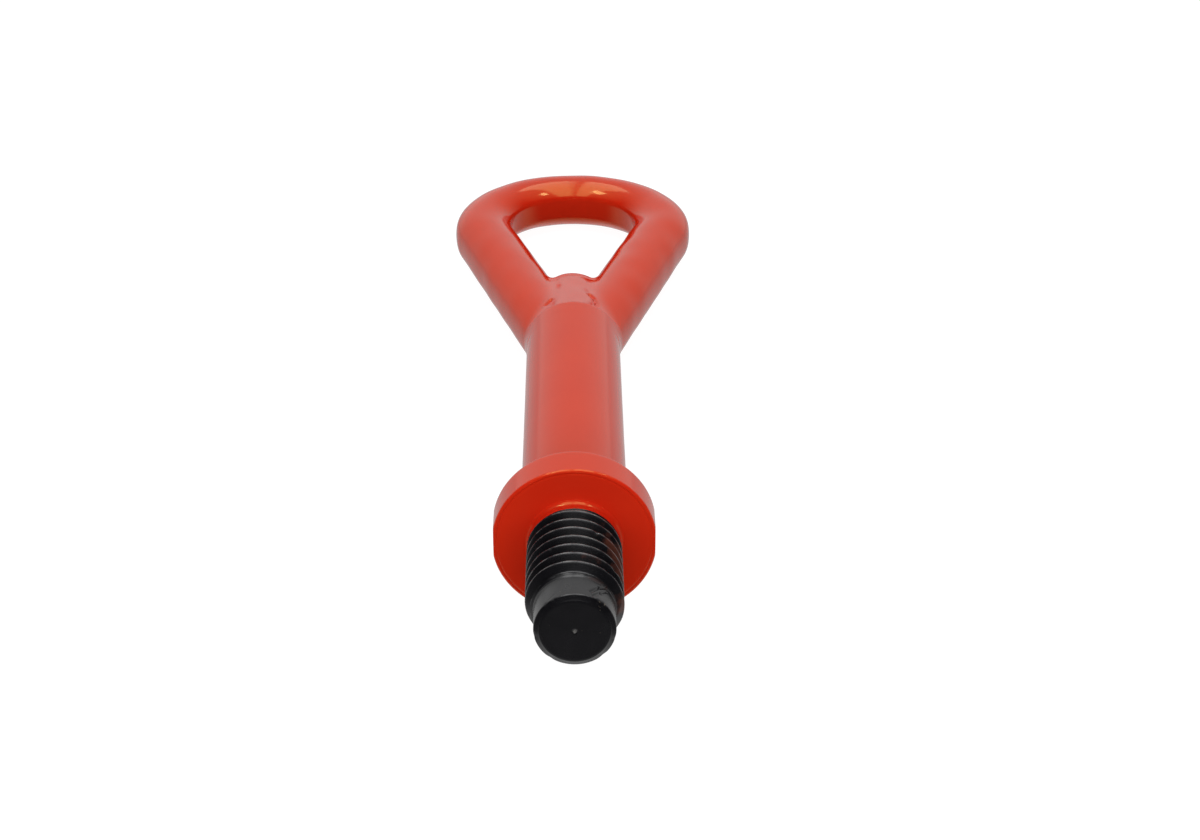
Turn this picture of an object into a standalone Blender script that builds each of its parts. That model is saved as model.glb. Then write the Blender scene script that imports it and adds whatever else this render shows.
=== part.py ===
"""Screw-in towing eye: a forged eye on a round shank, a stop collar and a left-hand threaded stud.

Runs on its own with blender --background --python part.py, or from Blender's text editor.
Units are metres and +Z is up. The origin is the centre of the stud's flat end, +Y runs along the
axis towards the eye, and the eye lies flat in the XY plane.
"""

from math import atan2, cos, pi, radians, sin, sqrt, tan

import bmesh
import bpy
from mathutils import Vector

MM = 0.001

# Between faces that touch on the real part.
GAP = 0.3 * MM

# Stud: a plain pilot leads a coarse left-hand thread. Behind the thread, a plain neck flares to a
# foot in the collar's seat, and a thinner tail passes the collar and ends in the shank.
THREAD_DIAMETER = 18.0 * MM
THREAD_PITCH = 3.0 * MM
THREAD_LENGTH = 21.6 * MM
LEAD_CHAMFER = 1.5 * MM
PILOT_LENGTH = 7.0 * MM
PILOT_CHAMFER_WIDTH = 1.0 * MM
PILOT_CHAMFER_LENGTH = 0.7 * MM
NECK_LENGTH = 1.9 * MM
NECK_RELIEF = 0.45 * MM
FOOT_WIDTH = 1.2 * MM
FOOT_HEIGHT = 0.9 * MM
TAIL_DIAMETER = 12.0 * MM
TAIL_DEPTH = 18.0 * MM

# Stop collar: a turned ring with two trimmed flats, held between the neck and the shank.
COLLAR_DIAMETER = 31.2 * MM
COLLAR_THICKNESS = 8.1 * MM
COLLAR_FRONT_ROUND = 0.7 * MM
COLLAR_BACK_ROUND = 0.9 * MM
COLLAR_TRIM = 0.3 * MM
SEAT_DEPTH = 1.0 * MM

# Shank: a plain round bar from the collar to the root of the eye.
SHANK_DIAMETER = 20.7 * MM
SHANK_LENGTH = 73.0 * MM

# Eye: a bar of flattened oval section, bent to a rounded triangle, with a filled throat.
ROOT_LENGTH = 5.8 * MM
THROAT_LENGTH = 30.3 * MM
THROAT_END_WIDTH = 14.0 * MM
THROAT_END_HEIGHT = 10.6 * MM
EYE_LENGTH = 97.9 * MM
EYE_WIDTH = 58.9 * MM
LEG_WIDTH = 14.0 * MM
FAR_BAR_WIDTH = 12.6 * MM
BAR_THICKNESS = 12.4 * MM
LEG_LEAN = radians(17.0)
CORNER_RADIUS = 21.9 * MM
FAR_ARCH_RADIUS = 50.0 * MM
TRIM_LAND_SHARE = 0.93

# Facets
ROUND_FACETS = 48
BAR_FACETS = 20
THREAD_STEPS_PER_TURN = 36

# The thread's depth, its crest flat and its root flat, as shares of its pitch.
THREAD_DEPTH_SHARE = 0.52
CREST_SHARE = 0.125
ROOT_SHARE = 0.25

RED_PAINT = (0.62, 0.035, 0.012, 1.0)
BLACK_COAT = (0.018, 0.018, 0.020, 1.0)

# Places along the axis, from the stud's end to the far bar.
THREAD_START_Y = PILOT_LENGTH
NECK_START_Y = THREAD_START_Y + THREAD_LENGTH
COLLAR_FRONT_Y = NECK_START_Y + NECK_LENGTH
SEAT_Y = COLLAR_FRONT_Y + SEAT_DEPTH
FOOT_END_Y = SEAT_Y - GAP
COLLAR_BACK_Y = COLLAR_FRONT_Y + COLLAR_THICKNESS
SHANK_START_Y = COLLAR_BACK_Y + GAP
TAIL_END_Y = SHANK_START_Y + TAIL_DEPTH
SHANK_END_Y = SHANK_START_Y + SHANK_LENGTH
EYE_START_Y = SHANK_END_Y + GAP
EYE_END_Y = EYE_START_Y + EYE_LENGTH

# Radii worked out from the sizes above.
THREAD_RADIUS = THREAD_DIAMETER / 2
THREAD_ROOT_RADIUS = THREAD_RADIUS - THREAD_DEPTH_SHARE * THREAD_PITCH
PILOT_RADIUS = THREAD_ROOT_RADIUS - GAP / 4
NECK_RADIUS = THREAD_RADIUS - NECK_RELIEF
FOOT_RADIUS = NECK_RADIUS + FOOT_WIDTH
SEAT_RADIUS = FOOT_RADIUS + GAP
TAIL_RADIUS = TAIL_DIAMETER / 2
COLLAR_RADIUS = COLLAR_DIAMETER / 2
BORE_RADIUS = TAIL_RADIUS + GAP
SHANK_RADIUS = SHANK_DIAMETER / 2


def clear_scene():
    """Removes every object, so that only this model is left."""
    for obj in list(bpy.data.objects):
        bpy.data.objects.remove(obj, do_unlink=True)


def new_collection(name):
    """Makes a collection and links it to the scene."""
    collection = bpy.data.collections.new(name)
    bpy.context.scene.collection.children.link(collection)
    return collection


def coating(name, colour, roughness):
    """Makes a Principled material for a coated steel surface."""
    material = bpy.data.materials.new(name)
    material.use_nodes = True
    shader = material.node_tree.nodes["Principled BSDF"]
    shader.inputs["Base Color"].default_value = colour
    shader.inputs["Roughness"].default_value = roughness
    shader.inputs["Metallic"].default_value = 0.0
    return material


def add_object(name, mesh, collection, material=None):
    """Links a mesh to a collection as a named object."""
    obj = bpy.data.objects.new(name, mesh)
    collection.objects.link(obj)
    if material:
        mesh.materials.append(material)
    return obj


def hide_cutter(obj):
    """Marks a helper, so that it takes part in Booleans only."""
    obj.hide_render = True
    obj.display_type = "WIRE"


def arc(centre, radius, start, end, pieces):
    """Points along a circular arc in a plane, both ends included."""
    points = []
    for i in range(pieces + 1):
        angle = start + (end - start) * i / pieces
        points.append((centre[0] + radius * cos(angle), centre[1] + radius * sin(angle)))
    return points


def turned(name, profile, closed, collection, material):
    """Turns (radius, place along the axis) points about the Y axis.

    The profile starts at the far end and comes back along the outer side. A closed profile is a
    ring, and an open one starts and ends on the axis.
    """
    mesh = bpy.data.meshes.new(name)
    edges = [(i, i + 1) for i in range(len(profile) - 1)]
    if closed:
        edges.append((len(profile) - 1, 0))
    mesh.from_pydata([(radius, 0.0, along) for radius, along in profile], edges, [])
    obj = add_object(name, mesh, collection, material)
    # Turns the profile's +Z to the part's +Y.
    obj.rotation_euler = (-pi / 2, 0.0, 0.0)
    screw = obj.modifiers.new("turn", "SCREW")
    screw.axis = "Z"
    screw.angle = 2 * pi
    screw.steps = ROUND_FACETS
    screw.render_steps = ROUND_FACETS
    screw.use_merge_vertices = True
    screw.merge_threshold = 0.00001
    screw.use_smooth_shade = False
    return obj


def loft(name, rings, collection, material=None):
    """Joins rings of equal length into a closed skin with a flat face at each end."""
    builder = bmesh.new()
    rows = [[builder.verts.new(point) for point in ring] for ring in rings]
    count = len(rows[0])
    for low, high in zip(rows, rows[1:]):
        for i in range(count):
            j = (i + 1) % count
            builder.faces.new((low[i], low[j], high[j], high[i]))
    builder.faces.new(rows[0])
    builder.faces.new(rows[-1])
    bmesh.ops.recalc_face_normals(builder, faces=builder.faces)
    mesh = bpy.data.meshes.new(name)
    builder.to_mesh(mesh)
    builder.free()
    return add_object(name, mesh, collection, material)


def boolean(obj, other, operation):
    """Adds an exact Boolean of one object with a helper."""
    modifier = obj.modifiers.new(other.name, "BOOLEAN")
    modifier.object = other
    modifier.operation = operation
    modifier.solver = "EXACT"
    hide_cutter(other)


def box(name, low, high, collection):
    """Makes a box between two corners."""
    builder = bmesh.new()
    bmesh.ops.create_cube(builder, size=1.0)
    centre = (Vector(low) + Vector(high)) / 2
    span = Vector(high) - Vector(low)
    bmesh.ops.scale(builder, vec=span, verts=builder.verts)
    bmesh.ops.translate(builder, vec=centre, verts=builder.verts)
    mesh = bpy.data.meshes.new(name)
    builder.to_mesh(mesh)
    builder.free()
    return add_object(name, mesh, collection)


def thread_groove(name, collection):
    """Makes the cutter of the left-hand thread: one groove section carried along the helix.

    The groove widens from its root to the crest and has parallel walls outside the crest. It
    starts and ends clear of the stud and sinks to full depth over a third of a turn.
    """
    depth = THREAD_RADIUS - THREAD_ROOT_RADIUS
    half_root = THREAD_PITCH * ROOT_SHARE / 2
    half_mouth = THREAD_PITCH * (1 - CREST_SHARE) / 2
    clear = depth
    # (height over the root, half width) from the root outwards.
    half_section = [(0.0, half_root), (depth, half_mouth), (depth + clear, half_mouth)]
    section = [(height, -half) for height, half in half_section]
    section += [(height, half) for height, half in reversed(half_section)]
    first_y = THREAD_START_Y + half_mouth
    turns = (NECK_START_Y - half_mouth - first_y) / THREAD_PITCH
    steps = round(turns * THREAD_STEPS_PER_TURN)
    sink_steps = THREAD_STEPS_PER_TURN / 3
    rings = []
    for step in range(steps + 1):
        turn = turns * step / steps
        # Against the right-hand rule as it goes along +Y.
        angle = 2 * pi * turn
        nearest_end = min(step, steps - step)
        lift = (depth + GAP) * max(0.0, 1 - nearest_end / sink_steps)
        ring = []
        for height, offset in section:
            radius = THREAD_ROOT_RADIUS + lift + height
            along = first_y + turn * THREAD_PITCH + offset
            ring.append((radius * cos(angle), along, radius * sin(angle)))
        rings.append(ring)
    return loft(name, rings, collection)


def threaded_stud(parts, cutters, material):
    """The stud: pilot, left-hand thread, neck, and the tail that sits in the shank's bore."""
    profile = [
        (0.0, TAIL_END_Y),
        (TAIL_RADIUS, TAIL_END_Y),
        (TAIL_RADIUS, FOOT_END_Y),
        (FOOT_RADIUS, FOOT_END_Y),
        (FOOT_RADIUS, COLLAR_FRONT_Y),
        (NECK_RADIUS + FOOT_WIDTH / 3, COLLAR_FRONT_Y - FOOT_HEIGHT / 3),
        (NECK_RADIUS, COLLAR_FRONT_Y - FOOT_HEIGHT),
        (NECK_RADIUS, NECK_START_Y),
        (THREAD_RADIUS, NECK_START_Y - NECK_RELIEF),
        (THREAD_RADIUS, THREAD_START_Y + LEAD_CHAMFER),
        (PILOT_RADIUS, THREAD_START_Y),
        (PILOT_RADIUS, PILOT_CHAMFER_LENGTH),
        (PILOT_RADIUS - PILOT_CHAMFER_WIDTH, 0.0),
        (0.0, 0.0),
    ]
    stud = turned("threaded_stud", profile, False, parts, material)
    boolean(stud, thread_groove("thread_groove", cutters), "DIFFERENCE")
    return stud


def stop_collar(parts, cutters, material):
    """The collar: a ring with rounded edges, a seat for the neck's foot and two trimmed flats."""
    back = arc(
        (COLLAR_RADIUS - COLLAR_BACK_ROUND, COLLAR_BACK_Y - COLLAR_BACK_ROUND),
        COLLAR_BACK_ROUND, pi / 2, 0.0, 2,
    )
    front = arc(
        (COLLAR_RADIUS - COLLAR_FRONT_ROUND, COLLAR_FRONT_Y + COLLAR_FRONT_ROUND),
        COLLAR_FRONT_ROUND, 0.0, -pi / 2, 3,
    )
    seat = [
        (SEAT_RADIUS, COLLAR_FRONT_Y),
        (SEAT_RADIUS, SEAT_Y),
        (BORE_RADIUS, SEAT_Y),
        (BORE_RADIUS, COLLAR_BACK_Y),
    ]
    profile = back + front + seat
    collar = turned("stop_collar", profile, True, parts, material)
    reach = COLLAR_RADIUS
    for side, word in ((1, "right"), (-1, "left")):
        near = side * (COLLAR_RADIUS - COLLAR_TRIM)
        far = side * (COLLAR_RADIUS + reach)
        trim = box(
            "collar_trim_" + word,
            (min(near, far), COLLAR_FRONT_Y - reach, -reach),
            (max(near, far), COLLAR_BACK_Y + reach, reach),
            cutters,
        )
        boolean(collar, trim, "DIFFERENCE")
    return collar


def shank(parts, material):
    """The shank: a round bar with a blind bore for the stud's tail."""
    bore_end_y = TAIL_END_Y + GAP
    profile = [
        (0.0, SHANK_END_Y),
        (SHANK_RADIUS, SHANK_END_Y),
        (SHANK_RADIUS, SHANK_START_Y),
        (BORE_RADIUS, SHANK_START_Y),
        (BORE_RADIUS, bore_end_y),
        (0.0, bore_end_y),
    ]
    return turned("shank", profile, False, parts, material)


def eye_centreline():
    """The right half of the eye's centreline as (place, direction, half width) stations.

    It runs up the straight leg, round the corner and along the gently arched far bar to the
    middle. The leg is tangent to the corner, and the corner is tangent to the arch.
    """
    top_y = EYE_END_Y - FAR_BAR_WIDTH / 2
    corner_x = EYE_WIDTH / 2 - LEG_WIDTH / 2 - CORNER_RADIUS
    arch_y = top_y - FAR_ARCH_RADIUS
    corner_y = arch_y + sqrt((FAR_ARCH_RADIUS - CORNER_RADIUS) ** 2 - corner_x**2)
    leg_end = (
        corner_x + CORNER_RADIUS * cos(LEG_LEAN),
        corner_y - CORNER_RADIUS * sin(LEG_LEAN),
    )
    # The leg starts inside the root, far enough in to be covered by it.
    leg_start_y = EYE_START_Y + ROOT_LENGTH * 0.75
    leg_rise = leg_end[1] - leg_start_y
    leg_start = (leg_end[0] - leg_rise * tan(LEG_LEAN), leg_start_y)
    join_angle = atan2(corner_y - arch_y, corner_x)

    stations = []
    leg_pieces = 4
    for i in range(leg_pieces):
        share = i / leg_pieces
        place = (
            leg_start[0] + share * (leg_end[0] - leg_start[0]),
            leg_start[1] + share * (leg_end[1] - leg_start[1]),
        )
        stations.append((place, pi / 2 - LEG_LEAN, LEG_WIDTH / 2))
    corner_pieces = 12
    for i in range(corner_pieces):
        share = i / corner_pieces
        angle = -LEG_LEAN + share * (join_angle + LEG_LEAN)
        place = (corner_x + CORNER_RADIUS * cos(angle), corner_y + CORNER_RADIUS * sin(angle))
        half_width = (LEG_WIDTH + share * (FAR_BAR_WIDTH - LEG_WIDTH)) / 2
        stations.append((place, angle + pi / 2, half_width))
    arch_pieces = 2
    for i in range(arch_pieces + 1):
        angle = join_angle + (pi / 2 - join_angle) * i / arch_pieces
        place = (FAR_ARCH_RADIUS * cos(angle), arch_y + FAR_ARCH_RADIUS * sin(angle))
        stations.append((place, angle + pi / 2, FAR_BAR_WIDTH / 2))
    return stations


def bar_ring(place, direction, half_width, side):
    """The bar's section: an ellipse whose inner and outer faces are trimmed flat."""
    outward = (sin(direction), -cos(direction))
    ring = []
    for i in range(BAR_FACETS):
        angle = 2 * pi * i / BAR_FACETS
        across = half_width / TRIM_LAND_SHARE * cos(angle)
        across = max(-half_width, min(half_width, across))
        x = place[0] + outward[0] * across
        y = place[1] + outward[1] * across
        ring.append((side * x, y, BAR_THICKNESS / 2 * sin(angle)))
    return ring


def eye(parts, cutters, material):
    """The eye: the bent bar joined to a throat that tapers from the shank's round section."""
    right = eye_centreline()
    rings = [bar_ring(*station, 1) for station in right]
    rings += [bar_ring(*station, -1) for station in reversed(right[:-1])]
    bow = loft("eye", rings, parts, material)

    throat_start = EYE_START_Y + ROOT_LENGTH
    end_half_width = THROAT_END_WIDTH / 2
    end_half_height = THROAT_END_HEIGHT / 2
    # (place along the axis, half width, half height)
    stations = [
        (EYE_START_Y, SHANK_RADIUS, SHANK_RADIUS),
        (throat_start, SHANK_RADIUS, SHANK_RADIUS),
    ]
    taper_end = throat_start + THROAT_LENGTH - end_half_height
    taper_pieces = 4
    for i in range(1, taper_pieces + 1):
        share = i / taper_pieces
        stations.append((
            throat_start + share * (taper_end - throat_start),
            SHANK_RADIUS + share * (end_half_width - SHANK_RADIUS),
            SHANK_RADIUS + share * (end_half_height - SHANK_RADIUS),
        ))
    # The throat's end is rounded over towards the opening.
    for angle in (radians(30), radians(55), radians(75)):
        stations.append((
            taper_end + end_half_height * sin(angle),
            end_half_width - end_half_height * (1 - cos(angle)) / 2,
            end_half_height * cos(angle),
        ))
    rings = []
    for along, half_width, half_height in stations:
        ring = []
        for i in range(ROUND_FACETS):
            angle = 2 * pi * i / ROUND_FACETS
            ring.append((half_width * cos(angle), along, half_height * sin(angle)))
        rings.append(ring)
    boolean(bow, loft("throat", rings, cutters), "UNION")
    return bow


def build():
    """Builds the four pieces of the towing eye."""
    clear_scene()
    parts = new_collection("towing_eye")
    cutters = new_collection("cutters")
    red = coating("red_paint", RED_PAINT, 0.28)
    black = coating("black_coating", BLACK_COAT, 0.5)
    threaded_stud(parts, cutters, black)
    stop_collar(parts, cutters, red)
    shank(parts, red)
    eye(parts, cutters, red)


build()
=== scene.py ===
"""A forged, screw-in towing eye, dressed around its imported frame.

The eye, the shank, the stop collar and the stud keep the places and sizes of the frame. Each is
rebuilt here with the surface that forging, turning, thread rolling and painting leave on it.
Sizes in the classes are millimetres. Meshes are scaled to metres when they are made.
"""

import logging
import math
from collections.abc import Callable, Sequence
from dataclasses import dataclass
from enum import Enum
from typing import Any

import bmesh
import bpy
import numpy as np
from mathutils import Euler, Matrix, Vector

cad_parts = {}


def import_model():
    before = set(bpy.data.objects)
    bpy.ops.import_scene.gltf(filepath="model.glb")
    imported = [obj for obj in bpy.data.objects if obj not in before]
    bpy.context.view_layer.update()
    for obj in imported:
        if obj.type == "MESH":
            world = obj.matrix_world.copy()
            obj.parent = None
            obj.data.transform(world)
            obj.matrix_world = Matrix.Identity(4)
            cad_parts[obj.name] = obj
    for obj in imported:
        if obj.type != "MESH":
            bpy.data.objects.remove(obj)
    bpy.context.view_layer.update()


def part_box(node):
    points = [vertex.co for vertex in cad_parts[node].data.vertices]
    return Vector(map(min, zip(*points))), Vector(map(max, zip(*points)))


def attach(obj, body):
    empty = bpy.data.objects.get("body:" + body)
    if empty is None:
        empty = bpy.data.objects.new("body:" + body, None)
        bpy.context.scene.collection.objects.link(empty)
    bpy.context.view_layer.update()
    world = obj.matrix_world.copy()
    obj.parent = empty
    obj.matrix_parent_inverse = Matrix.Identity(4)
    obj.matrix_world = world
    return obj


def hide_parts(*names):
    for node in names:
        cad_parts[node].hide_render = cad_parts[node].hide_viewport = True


MM = 0.001
# The inputs that a row fills, in order, where several noises or ramps are added at once.
NOISE = ("Vector", "Scale", "Detail", "Roughness")
RAMP = ("Value", "From Min", "From Max", "To Min", "To Max")
BODY = "root"

log = logging.getLogger("towing_eye")

Field = Callable[[np.ndarray], np.ndarray]


class Node(Enum):
    """The frame's nodes that the dressed pieces stand for."""

    EYE = "eye"
    SHANK = "shank"
    COLLAR = "stop_collar"
    STUD = "threaded_stud"


class Slot(Enum):
    """The record's material slots."""

    RED = "red_paint"
    BLACK = "black_coating"


# ---- Materials ----


def linear(hex_colour: str) -> tuple[float, float, float, float]:
    """Turns an sRGB hex colour into linear RGBA.

    Args:
        hex_colour: Six hex digits, such as "C3200F".

    Returns:
        Linear red, green and blue, with an alpha of 1.
    """
    parts = [int(hex_colour[i : i + 2], 16) / 255 for i in (0, 2, 4)]
    lit = [c / 12.92 if c <= 0.04045 else ((c + 0.055) / 1.055) ** 2.4 for c in parts]
    return (lit[0], lit[1], lit[2], 1.0)


def add_node(
    tree: bpy.types.NodeTree, kind: str, inputs: dict[str | int, Any] | None = None, **settings: Any
) -> bpy.types.Node:
    """Adds a node, sets its properties, and sets or links its inputs.

    Args:
        tree: The node tree to add to.
        kind: The node's type, such as "ShaderNodeTexNoise".
        inputs: Input name or number to a value, or to the output socket that feeds it.
        **settings: Properties of the node itself.

    Returns:
        The new node.
    """
    node = tree.nodes.new(kind)
    for name, value in settings.items():
        setattr(node, name, value)
    for name, value in (inputs or {}).items():
        if isinstance(value, bpy.types.NodeSocket):
            tree.links.new(value, node.inputs[name])
        else:
            node.inputs[name].default_value = value
    return node


def add_nodes(
    tree: bpy.types.NodeTree,
    kind: str,
    names: Sequence[str | int],
    rows: Sequence[tuple[Any, ...]],
    **settings: Any,
) -> dict[str, bpy.types.NodeSocket]:
    """Adds a node of one kind for each row.

    Args:
        tree: The node tree to add to.
        kind: The nodes' type.
        names: The inputs that the rows fill.
        rows: What each node gives, then its inputs.
        **settings: Properties of the nodes themselves.

    Returns:
        The first output of each node, under what it gives.
    """
    return {
        row[0]: add_node(tree, kind, dict(zip(names, row[1:])), **settings).outputs[0] for row in rows
    }


def per_metre(size_mm: float) -> float:
    """The noise scale, in object space, whose features measure size_mm."""
    return 1 / (size_mm * MM)


def new_material(name: str) -> tuple[bpy.types.Material, bpy.types.NodeTree, bpy.types.Node]:
    """Makes an empty node material.

    Args:
        name: The material's name.

    Returns:
        The material, its node tree and its Principled shader.
    """
    material = bpy.data.materials.new(name)
    material.use_nodes = True
    tree = material.node_tree
    return material, tree, tree.nodes["Principled BSDF"]


@dataclass(frozen=True)
class GlossEnamel:
    """Stoved red enamel over a blasted forging.

    The coat is thick enough to be glossy, but it keeps a fine orange peel, and the forging's
    skin shows through it as a slow unevenness.
    """

    name: str = "gloss_enamel_red"
    body_hex: str = "CF2A12"
    thin_hex: str = "C6220F"
    tint: tuple[float, float, float, float] = (1.0, 0.9, 0.3, 1.0)
    roughness: float = 0.11
    roughness_spread: float = 0.02
    ior: float = 1.5
    cloud_mm: float = 14.0
    peel_mm: float = 1.3
    peel_height_mm: float = 0.004
    skin_mm: float = 5.0
    skin_height_mm: float = 0.02
    streak_mm: float = 3.0
    streak_turn: float = math.radians(24)
    streak_squash: float = 0.16

    def make(self) -> bpy.types.Material:
        """Builds the enamel.

        Returns:
            The material.
        """
        material, tree, shader = new_material(self.name)
        place = add_node(tree, "ShaderNodeTexCoord").outputs["Object"]

        noise = add_nodes(
            tree,
            "ShaderNodeTexNoise",
            NOISE,
            (
                ("cloud", place, per_metre(self.cloud_mm), 4.0),
                ("peel", place, per_metre(self.peel_mm), 2.0),
                ("skin", place, per_metre(self.skin_mm), 2.0),
            ),
        )
        colour = add_node(
            tree,
            "ShaderNodeMix",
            {"Factor": noise["cloud"], 6: linear(self.thin_hex), 7: linear(self.body_hex)},
            data_type="RGBA",
        )
        tree.links.new(colour.outputs[2], shader.inputs["Base Color"])

        # Sprayed streaks run slightly across the axis, and show as a change of gloss.
        lean = add_node(
            tree,
            "ShaderNodeMapping",
            {
                "Vector": place,
                "Rotation": (0.0, 0.0, self.streak_turn),
                "Scale": (1.0, self.streak_squash, 1.0),
            },
        )
        streak = add_node(
            tree,
            "ShaderNodeTexNoise",
            {"Vector": lean.outputs["Vector"], "Scale": per_metre(self.streak_mm), "Detail": 3.0},
        )
        gloss = add_node(
            tree,
            "ShaderNodeMapRange",
            {
                "Value": streak.outputs["Fac"],
                "From Min": 0.3,
                "From Max": 0.7,
                "To Min": self.roughness - self.roughness_spread,
                "To Max": self.roughness + self.roughness_spread,
            },
        )
        tree.links.new(gloss.outputs["Result"], shader.inputs["Roughness"])

        skin_bump = add_node(
            tree,
            "ShaderNodeBump",
            {"Height": noise["skin"], "Strength": 0.5, "Distance": self.skin_height_mm * MM},
        )
        peel_bump = add_node(
            tree,
            "ShaderNodeBump",
            {
                "Height": noise["peel"],
                "Strength": 0.6,
                "Distance": self.peel_height_mm * MM,
                "Normal": skin_bump.outputs["Normal"],
            },
        )
        tree.links.new(peel_bump.outputs["Normal"], shader.inputs["Normal"])
        shader.inputs["IOR"].default_value = self.ior
        shader.inputs["Specular Tint"].default_value = self.tint
        return material


@dataclass(frozen=True)
class BlackCoat:
    """Black dip coat on turned and rolled steel.

    It is thin and satin. Screwing the stud in rubs it through on the crests, where the steel
    shows grey, and handling leaves brown oxide in patches on one side. The grey on the crests
    is also a painted highlight along the crest lines, and a pale grey dot in the centre mark
    is a painted highlight.
    """

    name: str = "black_dip_coat"
    coat_hex: str = "0B0B0D"
    faded_hex: str = "121114"
    bare_and_highlight_hex: str = "6E6C6A"
    # Worn steel on the crests, which also paints a highlight there and in the centre mark.
    oxide_hex: str = "4E2A20"
    fleck_hex: str = "857A66"
    roughness: float = 0.3
    worn_roughness: float = 0.22
    ior: float = 1.5
    cloud_mm: float = 3.5
    patch_mm: float = 5.0
    rub_mm: float = 1.6
    fleck_mm: float = 0.8
    grain_mm: float = 0.5
    grain_height_mm: float = 0.006
    # Oxide gathers from the first X to the second, and its noise is raised by the two shares.
    oxide_side_mm: tuple[float, float] = (-1.0, 7.0)
    oxide_lean: tuple[float, float] = (-0.1, 0.16)
    oxide_start_mm: tuple[float, float] = (6.0, 7.5)
    # Grey crests down to the wear depth are worn steel and a painted highlight.
    crest_radius_mm: float = 9.0
    crest_wear_and_highlight_depth_mm: float = 0.12
    # The mark radius sets the pale dot painted as a highlight in the centre mark.
    mark_highlight_radius_mm: float = 0.45
    nick_place_mm: tuple[float, float, float] = (4.9, 0.5, 5.2)
    nick_size_mm: float = 1.6
    nick_chips: float = 0.11

    def make(self) -> bpy.types.Material:
        """Builds the coat.

        Returns:
            The material.
        """
        material, tree, shader = new_material(self.name)
        place = add_node(tree, "ShaderNodeTexCoord").outputs["Object"]
        axes = add_node(tree, "ShaderNodeSeparateXYZ", {"Vector": place}).outputs
        inputs = {0: place, 1: tuple(part * MM for part in self.nick_place_mm)}
        to_nick = add_node(tree, "ShaderNodeVectorMath", inputs, operation="DISTANCE")
        inputs = {0: place, 1: (1.0, 0.0, 1.0)}
        across = add_node(tree, "ShaderNodeVectorMath", inputs, operation="MULTIPLY").outputs[0]
        radius = add_node(tree, "ShaderNodeVectorMath", {0: across}, operation="LENGTH")
        noise = add_nodes(
            tree,
            "ShaderNodeTexNoise",
            NOISE,
            (
                ("cloud", place, per_metre(self.cloud_mm), 5.0, 0.5),
                ("patch", place, per_metre(self.patch_mm), 6.0, 0.5),
                ("chip", place, per_metre(self.fleck_mm), 5.0, 0.62),
                ("rub", place, per_metre(self.rub_mm), 5.0, 0.5),
                ("grain", place, per_metre(self.grain_mm), 3.0, 0.5),
            ),
        )
        start_mm, full_mm = self.oxide_side_mm
        thread_mm, on_thread_mm = self.oxide_start_mm
        coat_mm = self.crest_radius_mm - self.crest_wear_and_highlight_depth_mm
        nick_mm, mark_highlight_mm = self.nick_size_mm, self.mark_highlight_radius_mm
        where = add_nodes(
            tree,
            "ShaderNodeMapRange",
            RAMP,
            (
                ("side", axes["X"], start_mm * MM, full_mm * MM, *self.oxide_lean),
                ("thread", axes["Y"], thread_mm * MM, on_thread_mm * MM),
                ("nick", to_nick.outputs["Value"], nick_mm * MM, nick_mm / 3 * MM),
                # Crest ramp: worn grey steel that also paints a highlight along the crest lines.
                ("crest", radius.outputs["Value"], coat_mm * MM, self.crest_radius_mm * MM),
                # Mark ramp: a pale dot painted as a highlight in the centre mark.
                ("mark", radius.outputs["Value"], mark_highlight_mm * MM, mark_highlight_mm / 2 * MM, 0.0, 0.9),
                ("rubbed", noise["rub"], 0.4, 0.65, 0.0, 0.6),
            ),
        )
        inputs = {0: where["nick"], 1: self.nick_chips, 2: noise["chip"]}
        chipped = add_node(tree, "ShaderNodeMath", inputs, operation="MULTIPLY_ADD").outputs[0]
        inputs = {0: noise["patch"], 1: where["side"]}
        rusty = add_node(tree, "ShaderNodeMath", inputs, operation="ADD").outputs[0]
        share = add_nodes(
            tree,
            "ShaderNodeMapRange",
            RAMP,
            (("oxide", rusty, 0.6, 0.74, 0.0, 0.85), ("flecks", chipped, 0.7, 0.75, 0.0, 0.5)),
        )
        share |= add_nodes(
            tree,
            "ShaderNodeMath",
            (0, 1),
            (
                ("oxide", share["oxide"], where["thread"]),
                ("bare_and_highlight", where["crest"], where["rubbed"]),
            ),
            operation="MULTIPLY",
        )
        # Painted highlight: the grey crests and the pale dot in the centre mark.
        inputs = {0: share["bare_and_highlight"], 1: where["mark"]}
        bare_and_highlight = add_node(tree, "ShaderNodeMath", inputs, operation="MAXIMUM").outputs[0]

        # From the coat up: faded clouds, oxide, flecks, then worn grey steel with painted highlights.
        colour = linear(self.coat_hex)
        for factor, hex_colour in (
            (noise["cloud"], self.faded_hex),
            (share["oxide"], self.oxide_hex),
            (share["flecks"], self.fleck_hex),
            (bare_and_highlight, self.bare_and_highlight_hex),
        ):
            inputs = {"Factor": factor, 6: colour, 7: linear(hex_colour)}
            colour = add_node(tree, "ShaderNodeMix", inputs, data_type="RGBA").outputs[2]
        tree.links.new(colour, shader.inputs["Base Color"])

        inputs = {"Value": noise["cloud"], "To Min": self.worn_roughness, "To Max": self.roughness}
        gloss = add_node(tree, "ShaderNodeMapRange", inputs).outputs["Result"]
        tree.links.new(gloss, shader.inputs["Roughness"])
        inputs = {"Height": noise["grain"], "Strength": 0.6, "Distance": self.grain_height_mm * MM}
        bump = add_node(tree, "ShaderNodeBump", inputs).outputs["Normal"]
        tree.links.new(bump, shader.inputs["Normal"])
        shader.inputs["IOR"].default_value = self.ior
        return material


# ---- Mesh tools ----


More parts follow.
